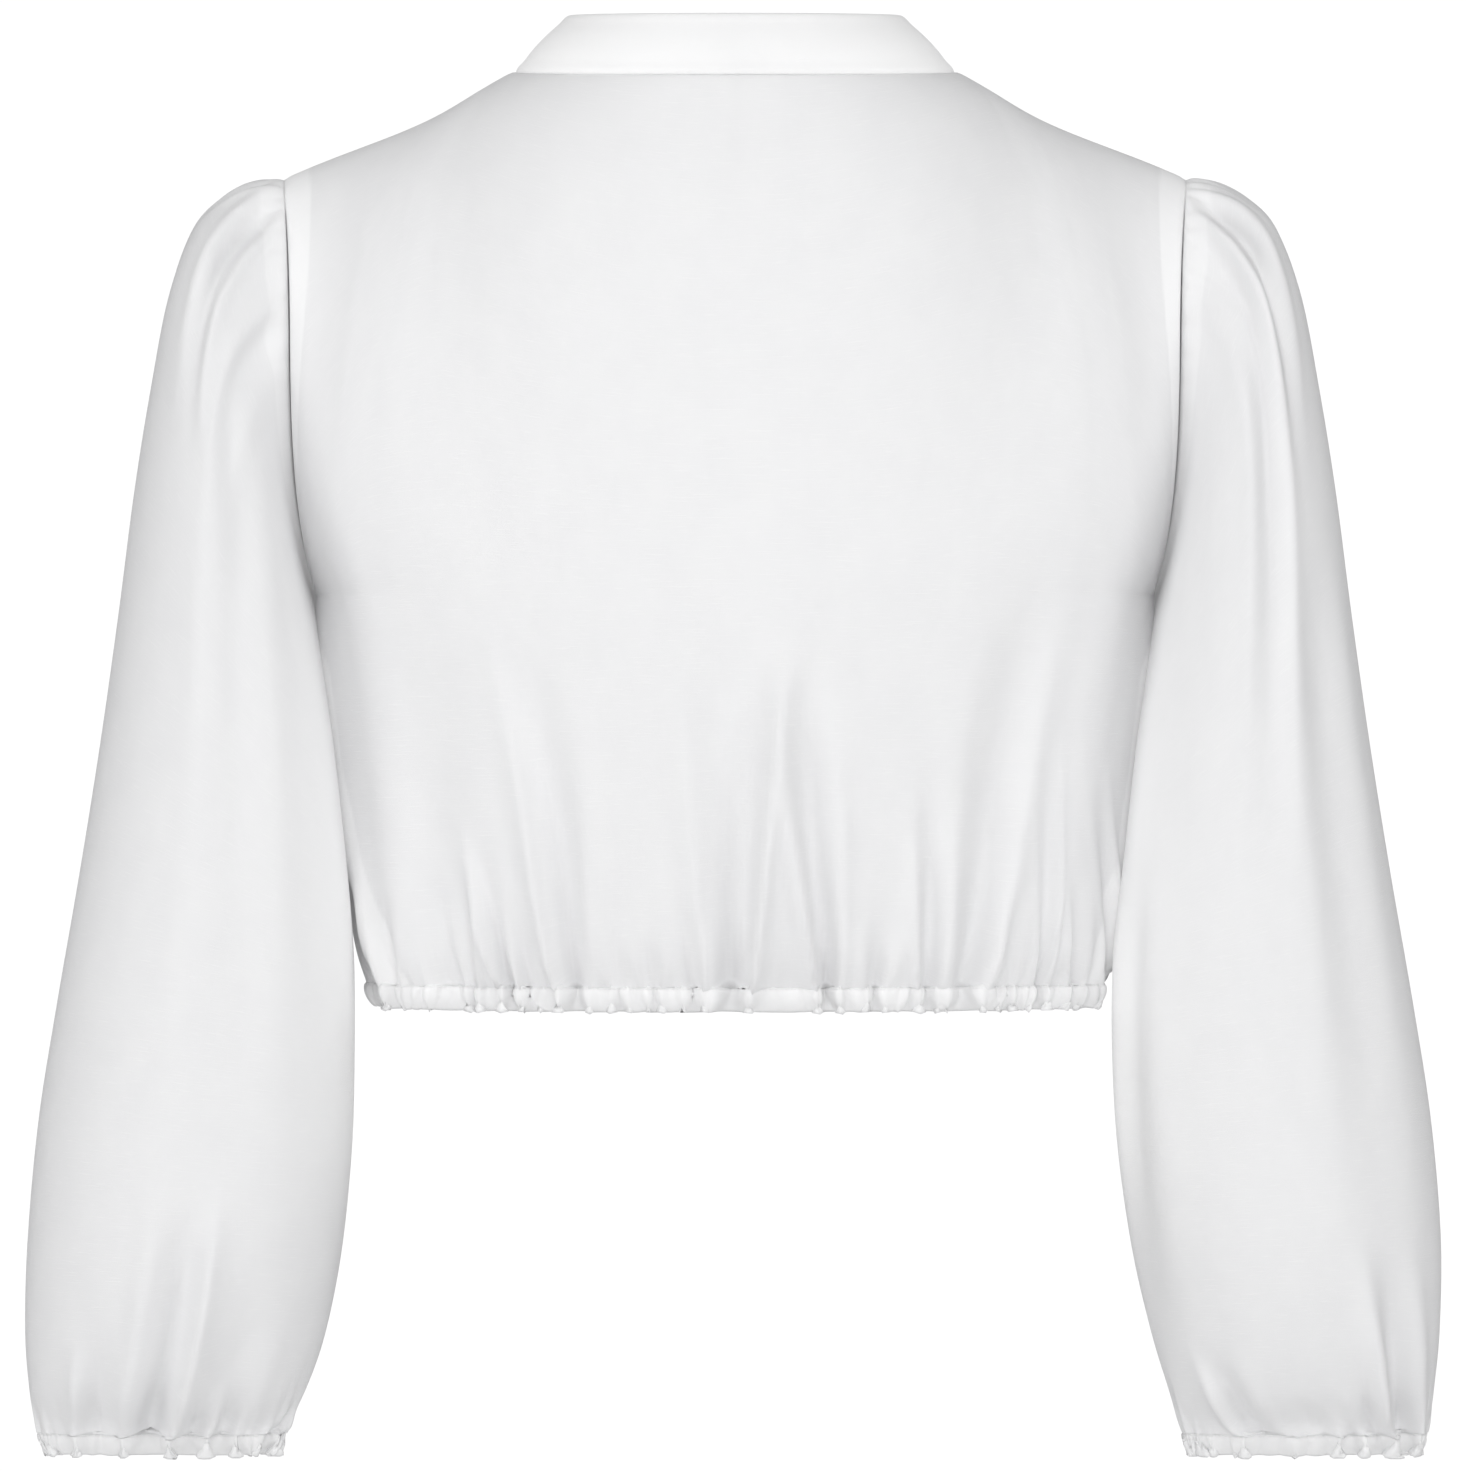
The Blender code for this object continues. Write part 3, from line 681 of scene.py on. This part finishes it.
def makePanel(name, panel):
    across = panelColumns(PANELS["shoulderColumns"], PANELS["neckColumns"])
    low = np.linspace(0, 1, PANELS["lowerRows"]) ** 1.25
    high = 1 + np.linspace(0, 1, PANELS["upperRows"] + 1)[1:]
    points = panelSurface(panel, across, np.concatenate([low, high]))
    if panel["side"] > 0:
        points = points[:, ::-1]
        across = across[::-1]
    heights = points[..., 2]
    moved = hemFolds(panel["folds"], across, heights)
    moved += sideCrest(panel, across, heights)
    moved += hemGathers(panel, across, heights)
    moved += shortPleats(panel, across, heights)
    moved += seamDip(points, ((0, True), (1, False), (1, True)))
    shaped = points + normalsOf(points, False) * moved[..., None]
    shaped[0, :, 2] = points[0, :, 2]
    # the tone: a pale band of seam allowance beside the armholes and along the side edge, which also
    # stands in for light that the shaded sides lack, with a painted glow beside it
    run = lengthsAlong(points, 1)
    fromSide = np.minimum(run, run[:, -1:] - run)
    turned = sideTurn(panel, across, heights)
    lower = belowArms(heights)
    fromEdge = np.where(turned > -0.3, np.maximum(-turned * PANELS["edgeScale"], 0), fromSide)
    allowanceAndPaintedLight = allowanceAndPaintedGlow(fromSide * (1 - lower) + np.minimum(fromEdge, fromSide) * lower)
    # past the side edge below the arms, painted light in the crevice by the sleeves, fading out
    # between -290 and -350 so that the lower side keeps its shade
    shaded = fade((PANELS["shadeHeight"] - heights) / PANELS["shadeFade"])
    beyond = fade(turned * 20 + 0.5) * lower
    allowanceAndPaintedLight = allowanceAndPaintedLight * (1 - beyond) + PANELS["paintedCreviceLight"] * beyond * (1 - shaded)
    # painted light in the underarm crevice
    level = (heights - PANELS["underarmHeight"]) / PANELS["underarmReach"]
    underarm = np.exp(-(level**2) - (fromSide / PANELS["underarmWidth"]) ** 2)
    allowanceAndPaintedLight = np.maximum(allowanceAndPaintedLight, PANELS["paintedCreviceLight"] * underarm)
    material = clothMaterial(name, CLOTH_LOOK)
    obj = clothObject(name, shaped, clothUvs(points, False), allowanceAndPaintedLight, False, PANELS, material)
    return obj


# Sleeves

SLEEVES = {
    "thickness": 0.7,
    "columns": 270,
    "rows": 170,
    "armholeFade": 4.0,
    "armholeGap": -0.5,
    "headGathers": 44,
    "headDepth": 1.1,
    "headReach": 13.0,
    "cuffGathers": 36,
    "cuffDepth": 0.9,
    "cuffReach": 9.0,
    "innerReach": 50,
    "besideBody": 10.5,
    # painted light on the inner side, in the crevice beside the body
    "paintedInnerLight": 0.6,
    # outer x and z, inner x and z, half depth, middle y, from armhole to cuff
    "rings": (
        (194, -47, 180, -226, 48, -7),
        (205, -49, 180.2, -230, 51, -2),
        (219, -56.5, 179.2, -236, 55, 7),
        (231.2, -69.5, 178.2, -243, 58.5, 15),
        (241.5, -98, 176.8, -252, 61, 21),
        (249, -138, 174.6, -267, 62, 25),
        (255.8, -182, 171.4, -288, 61, 28.5),
        (262.6, -235, 168, -317, 59, 29.5),
        (270.5, -290, 164.8, -349, 58, 28),
        (279.6, -345, 162.6, -382, 58, 24),
        (289.6, -400, 162.6, -420, 58, 18),
        (298, -450, 164, -462, 57, 12),
        (303, -500, 168.5, -506, 54, 8),
        (304.5, -540, 175.6, -542, 46, 5),
        (303, -565, 183.8, -566, 35, 3),
        (300.4, -580, 190.6, -580, 20, 2),
        (299.2, -585.5, 193.2, -585.5, 17, 2),
    ),
}

# Sleeve folds: first and last ring, first and last angle backwards from the outer side,
# width, depth, ridge
LEFT_SLEEVE = {
    "seed": 2,
    "changes": (),
    "folds": (
        (0, 5.0, 28, 60, 6.5, 6.0, 0.5),
        (0, 3.0, 10, 2, 6, 2.6, 0.5),
        (0, 1.6, 44, 47, 4, 2.0, 0.4),
        (0, 5.5, 74, 84, 6, 3.0, -0.5),
        (3, 13, 92, 108, 12, 3.5, 0.0),
        (0, 6, -20, -25, 9, 4.2, 0.3),
        (0, 5.5, -42, -50, 8, 3.6, -0.4),
        (2, 10, -85, -80, 14, 4.0, 0.2),
        (11.2, 16, 94, 85, 7, 7.5, 0.5),
        (12.8, 16, 62, 58, 7, 4.4, -0.5),
        (13.8, 16, 108, 104, 5, 3.2, 0.4),
        (13.6, 16, 123, 120, 5, 3.2, -0.4),
        (14.2, 16, 172, 155, 6, 2.6, 0.3),
        (12, 15.4, 121, 116, 9, 2.4, 0.0),
        (11.5, 16, -70, -62, 8, 5.0, 0.4),
        (12, 16, -100, -98, 7, 4.8, -0.5),
        (11, 16, -125, -132, 8, 5.0, 0.5),
    ),
}

RIGHT_SLEEVE = {
    "seed": 7,
    # where it is narrower or wider than the left one: ring, outer x, inner x
    "changes": (
        (11, -0.2, 1.0),
        (12, -0.6, 2.4),
        (13, -2.2, 3.2),
        (14, -2.8, 2.0),
        (15, -2.1, -0.4),
        (16, -2.1, -1.2),
    ),
    "folds": (
        (0, 6, 22, 60, 7, 5.6, 0.5),
        (0.6, 9.5, 50, 88, 8, 5.0, -0.4),
        (0, 2.2, 12, 19, 4.5, 2.0, 0.4),
        (6, 13, 48, 58, 11, 2.8, 0.2),
        (0, 5.5, -18, -28, 9, 4.2, 0.4),
        (0, 6, -45, -55, 8, 3.8, -0.4),
        (2, 10, -88, -84, 14, 4.0, 0.2),
        (13, 16, 132, 110, 7, 5.0, 0.5),
        (14, 16, 90, 84, 6, 3.2, -0.4),
        (14.8, 16, 68, 67, 5, 2.6, 0.4),
        (11.8, 16, 54, 34, 8, 6.6, 0.5),
        (13.2, 16, 68, 53, 5.5, 3.6, -0.4),
        (11.5, 16, -60, -58, 8, 5.0, 0.4),
        (12, 16, -95, -92, 7, 4.6, -0.5),
        (11.5, 16, -130, -126, 8, 4.8, 0.5),
        (7.5, 14, 158, 160, 12, 3.6, 0.2),
    ),
}


def sleeveSurface(side, rings, angles):
    table = [list(row) for row in SLEEVES["rings"]]
    for ring, outerX, innerX in side["changes"]:
        table[ring][0] += outerX
        table[ring][2] += innerX
    columns = np.moveaxis(through(table, rings), -1, 0)
    outerX, outerZ, innerX, innerZ, depth, middleY = (column[:, None] for column in columns)
    turn = np.radians(angles)[None, :]
    x = (outerX + innerX) / 2 + (outerX - innerX) / 2 * np.cos(turn)
    z = (outerZ + innerZ) / 2 + (outerZ - innerZ) / 2 * np.cos(turn)
    points = joined(x, middleY + depth * np.sin(turn), z)
    seam = armhole(np.radians((angles + 180) % 360 - 180))
    seam = seam + np.array([SLEEVES["armholeGap"], 0, 0])
    share = 1 - fade(rings / SLEEVES["armholeFade"])
    return points + (seam - points[0])[None] * share[:, None, None]


def sleeveFolds(folds, rings, angles):
    last = len(SLEEVES["rings"]) - 1
    total = np.zeros((len(rings), len(angles)))
    for startRing, endRing, startAngle, endAngle, width, depth, ridge in folds:
        share = (rings - startRing) / (endRing - startRing)
        middle = startAngle + (endAngle - startAngle) * np.clip(share, 0, 1)
        strength = fade((rings - startRing) / 1.5)
        if endRing < last:
            strength = strength * (1 - fade(share * 1.6 - 0.6))
        away = (angles[None, :] - middle[:, None] + 180) % 360 - 180
        total += depth * trough(away / width, ridge) * strength[:, None]
    return total


def sleeveGathers(side, points, angles):
    # gathers over the head of the sleeve, and all round above the cuff
    run = lengthsAlong(points, 0)
    share = (angles / 360) % 1
    head = gatherWave(share, SLEEVES["headGathers"], side["seed"])
    overTop = fade((110 - np.abs((angles + 180) % 360 - 180)) / 50)
    reach = SLEEVES["headReach"] * (1 + 0.5 * np.sin(angles / 9 + side["seed"]))
    rise = 1 - np.exp(-run / 1.5)
    total = SLEEVES["headDepth"] * head * overTop * rise * np.exp(-run / reach)
    left = run[-1:] - run
    cuff = gatherWave(share, SLEEVES["cuffGathers"], side["seed"] + 1)
    reach = SLEEVES["cuffReach"] * (1 + 0.5 * np.sin(angles / 13 + side["seed"]))
    return total + SLEEVES["cuffDepth"] * cuff * np.exp(-left / reach)


def cuffPleats(side, points, angles):
    maker = np.random.default_rng(side["seed"] + 40)
    run = lengthsAlong(points, 0)
    left = run[-1:] - run
    total = np.zeros(left.shape)
    for place in np.arange(-180, 180, 13):
        middle = place + maker.uniform(-5, 5)
        height = maker.uniform(14, 48)
        width = maker.uniform(2.6, 4.6)
        depth = maker.uniform(0.6, 1.6)
        lean = maker.uniform(-6, 6)
        rise = left / height
        centre = middle + lean * np.clip(rise, 0, 1)
        away = (angles[None, :] - centre + 180) % 360 - 180
        spread = width * (1 + 0.8 * np.clip(rise, 0, 1))
        total += depth * trough(away / spread) * (1 - fade(rise))
    return total


def foldedSleeve(side, rings, angles):
    points = sleeveSurface(side, rings, angles)
    moved = sleeveFolds(side["folds"], rings, angles)
    moved += sleeveGathers(side, points, angles)
    moved += cuffPleats(side, points, angles)
    moved += seamDip(points, ((0, False),))
    shaped = points - normalsOf(points, True) * moved[..., None]
    shaped[-1, :, 2] = points[-1, :, 2]
    return points, shaped


def makeSleeve(name, side, mirror):
    count = SLEEVES["columns"]
    angles = -180 + np.arange(count) * 360 / count
    rings = np.linspace(0, 1, SLEEVES["rows"]) ** 0.97 * (len(SLEEVES["rings"]) - 1)
    points, shaped = foldedSleeve(side, rings, angles)
    # the tone: the seam allowance beside the armhole at the back with its painted glow, and painted
    # light on the inner side, in the crevice beside the body
    run = lengthsAlong(points, 0)
    behind = fade(np.sin(np.radians(angles)) * 3)
    allowanceAndPaintedLight = allowanceAndPaintedGlow(run) * behind[None, :] * 0.6
    inner = np.exp(-(((180 - np.abs(angles)) / SLEEVES["innerReach"]) ** 2))[None, :]
    beside = 1 - fade((rings - SLEEVES["besideBody"]) / 2)[:, None]
    allowanceAndPaintedLight = np.maximum(allowanceAndPaintedLight, SLEEVES["paintedInnerLight"] * inner * beside)
    if mirror:
        shaped = shaped * np.array([-1, 1, 1])
    else:
        shaped, points, allowanceAndPaintedLight = shaped[:, ::-1], points[:, ::-1], allowanceAndPaintedLight[:, ::-1]
    material = clothMaterial(name, CLOTH_LOOK)
    return clothObject(name, shaped, clothUvs(points, True), allowanceAndPaintedLight, True, SLEEVES, material)


# Collar band

BAND = {
    "thickness": 1.8,
    "rounding": 1,
    "backColumns": 46,
    "frontColumns": 70,
    "rows": 13,
    "bow": 1.6,
    "ridge": 0.7,
    "ridgeAt": 0.1,
    "roll": 0.8,
    "groove": 0.5,
    # painted light: the band's colour is lifted a little at the centre back and more towards its sides
    "centrePaintedLight": 0.15,
    "sidePaintedLight": 0.65,
}

BAND_LOOK = {
    **CLOTH_LOOK,
    # the same cloth painted paler: painted light on the collar band
    "colour": (0.87, 0.87, 0.872),
    "shade": (0.84, 0.84, 0.845),
    "crumpleHeight": 0.22,
}


def makeBand(name):
    back = np.linspace(0, 1, BAND["backColumns"] + 1)
    front = np.linspace(0, 1, BAND["frontColumns"] + 1)[1:]
    share = np.linspace(0, 1, BAND["rows"])[:, None, None]
    lower = np.concatenate([neckBack("seam", back), neckFront("seam", front)])[None]
    upper = np.concatenate([neckBack("edge", back), neckFront("edge", front)])[None]
    left = lower + (upper - lower) * (1.035 * share - 0.035)
    inward = normalsOf(left, False)
    rise = share[:, 0, 0]
    profile = BAND["bow"] * np.sin(math.pi * rise)
    profile += BAND["ridge"] * np.exp(-(((rise - BAND["ridgeAt"]) / 0.045) ** 2))
    profile += BAND["roll"] * np.exp(-(((rise - 0.93) / 0.06) ** 2))
    profile -= BAND["groove"] * np.exp(-(((rise - 0.2) / 0.04) ** 2))
    left = left - inward * profile[:, None, None]
    right = left[:, :0:-1] * np.array([-1, 1, 1])
    whole = np.concatenate([right, left], axis=1)[:, ::-1]
    whole[:, 0, 0] = CUT["seamGap"]
    whole[:, -1, 0] = -CUT["seamGap"]
    material = clothMaterial(name, BAND_LOOK)
    # painted light, stronger towards the band's sides
    toSide = np.clip(np.abs(whole[..., 0]) / NECK["seam"][1][0], 0, 1)
    tone = BAND["centrePaintedLight"] + BAND["sidePaintedLight"] * toSide
    return clothObject(name, whole, clothUvs(whole, False), tone, False, BAND, material)


# Elastic casings at the hem and cuffs

CASINGS = {
    # painted light: the whole casing's colour is lifted and given a faint glow
    "tone": 0.25,
    "thickness": 1.3,
    "rows": 13,
    "depth": 1.0,
    "roundness": 1.6,
    "slant": 0.5,
    "scallop": 0.3,
    "hemHeight": 11.5,
    "hemBelly": 1.3,
    "hemTuck": 3.4,
    "hemGap": -1.2,
    "hemColumns": 1000,
    "cuffHeight": 10.5,
    "cuffBelly": -0.4,
    "cuffTuck": 6.0,
    "cuffGap": -1.2,
    "cuffColumns": 420,
    "inset": 0.5,
}

# the same cloth painted paler: painted light on the casings, which tuck in and face down
CASING_LOOK = {**CLOTH_LOOK, "colour": (0.86, 0.86, 0.862), "crumpleHeight": 0.3, "crumpleSize": 7.0}


def hemEdge(columns):
    across = 1 - 4 * np.arange(columns) / columns
    behind = across >= -1
    place = np.where(behind, across, -2 - across)
    edge = np.where(behind[:, None], bodyRing(0, place, 1), bodyRing(0, place, -1))
    low = np.full(columns, float(BODY["rings"][0][0]))
    moved = np.zeros(columns)
    for panel, here in ((BACK, behind), (FRONT, ~behind)):
        folds = hemFolds(panel["folds"], place, low) + shortPleats(panel, place, low)
        folds += sideCrest(panel, place, low)
        moved = np.where(here, folds, moved)
    return edge + outwardOf(edge) * moved[:, None]


def outwardOf(edge):
    ahead = np.roll(edge, -1, axis=0) - np.roll(edge, 1, axis=0)
    return unit(np.cross(ahead, np.array([0, 0, 1])))


def cuffEdge(side, columns):
    angles = np.arange(columns) * 360 / columns
    rings = np.array([len(SLEEVES["rings"]) - 2.0, len(SLEEVES["rings"]) - 1.0])
    points = sleeveSurface(side, rings, angles)
    moved = sleeveFolds(side["folds"], rings, angles)
    moved += cuffPleats(side, points, angles)
    shaped = points - normalsOf(points, True) * moved[..., None]
    shaped[-1, :, 2] = points[-1, :, 2]
    return shaped[-1]


def makeCasing(name, edge, count, seed, sizes, mirror):
    gap, belly, tuck, height = sizes
    outward = outwardOf(edge)
    place = np.arange(len(edge)) / len(edge)
    slant = CASINGS["slant"] * np.sin(2 * math.pi * (13 * place + seed)) / count
    rows = []
    for share in np.linspace(0, 1, CASINGS["rows"]):
        wave = gatherWave(place + slant * share, count, seed, CASINGS["roundness"])
        bulge = belly * math.sin(math.pi * share) ** 0.7
        emerging = fade(share / 0.2)
        ripple = CASINGS["depth"] * wave * emerging * (1 - 0.4 * share**2)
        reach = ripple + bulge - tuck * share**2.2
        reach = reach - CASINGS["inset"] * (1 - emerging)
        ring = edge + outward * reach[:, None]
        ring[:, 2] = edge[:, 2] - gap - height * share - CASINGS["scallop"] * wave * share
        rows.append(ring)
    points = np.array(rows)[::-1]
    if mirror:
        points = points[:, ::-1] * np.array([-1, 1, 1])
    uvs = clothUvs(points, True)
    top = float(uvs[-1, 0, 1] / MM)
    row = {"at": top - 1.6, "width": 0.45, "length": 2.6}
    material = clothMaterial(name, CASING_LOOK, (row,))
    # painted light over the whole casing
    tone = np.zeros(points.shape[:2]) + CASINGS["tone"]
    return clothObject(name, points, uvs, tone, True, CASINGS, material)


def makeHemCasing(name):
    sizes = [CASINGS[key] for key in ("hemGap", "hemBelly", "hemTuck", "hemHeight")]
    edge = hemEdge(CASINGS["hemColumns"])
    return makeCasing(name, edge, PANELS["gathers"], 1, sizes, False)


def makeCuffCasing(name, side, mirror):
    edge = cuffEdge(side, CASINGS["cuffColumns"])
    sizes = [CASINGS[key] for key in ("cuffGap", "cuffBelly", "cuffTuck", "cuffHeight")]
    return makeCasing(name, edge, SLEEVES["cuffGathers"], side["seed"] + 1, sizes, mirror)


# Floor, lights and camera

STUDIO = {
    "floorHeight": -1.15,
    "floorSize": 9.0,
    "floorColour": (0.93, 0.93, 0.93),
    "floorRoughness": 0.9,
    "floorGlow": 0.15,
    "worldColour": (1.0, 1.0, 1.0),
    "worldStrength": 0.26,
    "backdropStrength": 1.05,
    "cameraDistance": 3.5,
    "cameraHeight": -0.2862,
    "frameWidth": 0.6321,
    "exposure": 0.0,
    # name, azimuth from behind, elevation, distance, size, power
    "lights": (
        ("front", 1, 9, 4.2, 2.0, 49),
        ("softboxLeft", 55, 4, 2.4, 1.0, 11),
        ("softboxRight", -52, 4, 2.4, 1.0, 10),
        ("overhead", 3, 55, 2.6, 1.6, 21),
    ),
}


def makeFloor():
    mesh = bpy.data.meshes.new("floor")
    bm = bmesh.new()
    bmesh.ops.create_grid(bm, x_segments=1, y_segments=1, size=STUDIO["floorSize"] / 2)
    for vert in bm.verts:
        vert.co.z = STUDIO["floorHeight"]
    bm.to_mesh(mesh)
    bm.free()
    floor = bpy.data.objects.new("floor", mesh)
    bpy.context.scene.collection.objects.link(floor)
    material = bpy.data.materials.new("paleFloor")
    material.use_nodes = True
    shader = material.node_tree.nodes["Principled BSDF"]
    shader.inputs["Base Color"].default_value = (*STUDIO["floorColour"], 1)
    shader.inputs["Roughness"].default_value = STUDIO["floorRoughness"]
    shader.inputs["Emission Color"].default_value = (1, 1, 1, 1)
    shader.inputs["Emission Strength"].default_value = STUDIO["floorGlow"]
    mesh.materials.append(material)


def makeWorld():
    world = bpy.data.worlds.new("studio")
    bpy.context.scene.world = world
    world.use_nodes = True
    tree = world.node_tree
    background = tree.nodes["Background"]
    background.inputs["Color"].default_value = (*STUDIO["worldColour"], 1)
    background.inputs["Strength"].default_value = STUDIO["worldStrength"]
    seen = tree.nodes.new("ShaderNodeBackground")
    seen.inputs["Color"].default_value = (*STUDIO["worldColour"], 1)
    seen.inputs["Strength"].default_value = STUDIO["backdropStrength"]
    path = tree.nodes.new("ShaderNodeLightPath")
    mix = tree.nodes.new("ShaderNodeMixShader")
    tree.links.new(path.outputs["Is Camera Ray"], mix.inputs["Fac"])
    tree.links.new(background.outputs[0], mix.inputs[1])
    tree.links.new(seen.outputs[0], mix.inputs[2])
    tree.links.new(mix.outputs[0], tree.nodes["World Output"].inputs["Surface"])


def makeLights():
    middle = Vector((0, 0, STUDIO["cameraHeight"]))
    for name, azimuth, elevation, distance, size, power in STUDIO["lights"]:
        data = bpy.data.lights.new(name, "AREA")
        data.shape = "SQUARE"
        data.size = size
        data.energy = power
        light = bpy.data.objects.new(name, data)
        a, e = math.radians(azimuth), math.radians(elevation)
        away = Vector((math.sin(a) * math.cos(e), math.cos(a) * math.cos(e), math.sin(e)))
        light.location = middle + away * distance
        light.rotation_euler = away.to_track_quat("Z", "Y").to_euler()
        bpy.context.scene.collection.objects.link(light)


def makeCamera():
    data = bpy.data.cameras.new("camera")
    data.sensor_width = 36
    data.lens = 36 * STUDIO["cameraDistance"] / STUDIO["frameWidth"]
    data.clip_end = 100
    camera = bpy.data.objects.new("camera", data)
    camera.location = (0, STUDIO["cameraDistance"], STUDIO["cameraHeight"])
    camera.rotation_euler = Vector((0, -1, 0)).to_track_quat("-Z", "Y").to_euler()
    bpy.context.scene.collection.objects.link(camera)
    bpy.context.scene.camera = camera


makeCamera()
makeWorld()
makeLights()
makeFloor()
bpy.context.scene.view_settings.view_transform = "Standard"
bpy.context.scene.view_settings.exposure = STUDIO["exposure"]
print("stage: studio")

backPanel = makePanel("backPanel", BACK)
declareSheet(backPanel, "back")
frontPanel = makePanel("frontPanel", FRONT)
declareSheet(frontPanel, "front")
print("stage: panels")

leftSleeve = makeSleeve("leftSleeve", LEFT_SLEEVE, False)
declareSheet(leftSleeve, "sleeve_left")
rightSleeve = makeSleeve("rightSleeve", RIGHT_SLEEVE, True)
declareSheet(rightSleeve, "sleeve_right")
print("stage: sleeves")

declareSheet(makeBand("collarBand"), "collar_band")
print("stage: collar band")

declareSheet(makeHemCasing("hemCasing"), "hem_casing")
leftCuff = makeCuffCasing("leftCuffCasing", LEFT_SLEEVE, False)
declareSheet(leftCuff, "cuff_casing_left")
rightCuff = makeCuffCasing("rightCuffCasing", RIGHT_SLEEVE, True)
declareSheet(rightCuff, "cuff_casing_right")
print("stage: casings")
